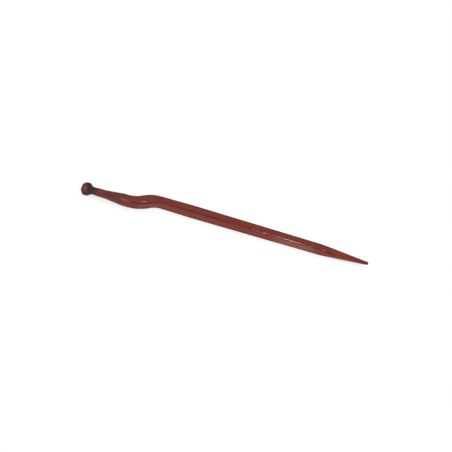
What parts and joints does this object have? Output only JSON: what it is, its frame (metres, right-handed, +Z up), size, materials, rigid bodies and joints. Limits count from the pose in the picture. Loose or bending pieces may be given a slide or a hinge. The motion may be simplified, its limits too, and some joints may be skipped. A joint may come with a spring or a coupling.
{
  "type": "loader tine",
  "caption": "Cranked steel loader tine: square bar with a long round point, an offset crank and a round taper seat behind a threaded stud with its hexagon nut.",
  "frame": {"origin": "centre of the large end of the round taper, on the taper's axis", "axes": "+X from the stud along the tine to its point, +Y from the head's axis towards the bar's axis in the plane of the crank, +Z up, square to the crank, with the tine lying on its side"},
  "size_m": [1.4, 0.0814, 0.0438],
  "materials": {
    "red_paint": "thin semi-gloss red-brown paint over forged steel, bare dark phosphated thread at the stud",
    "nut_finish": "dark phosphated steel with red overspray on its outer face"
  },
  "bodies": {
    "root": {"tine": "red_paint", "nut": "nut_finish"}
  },
  "joints": []
}
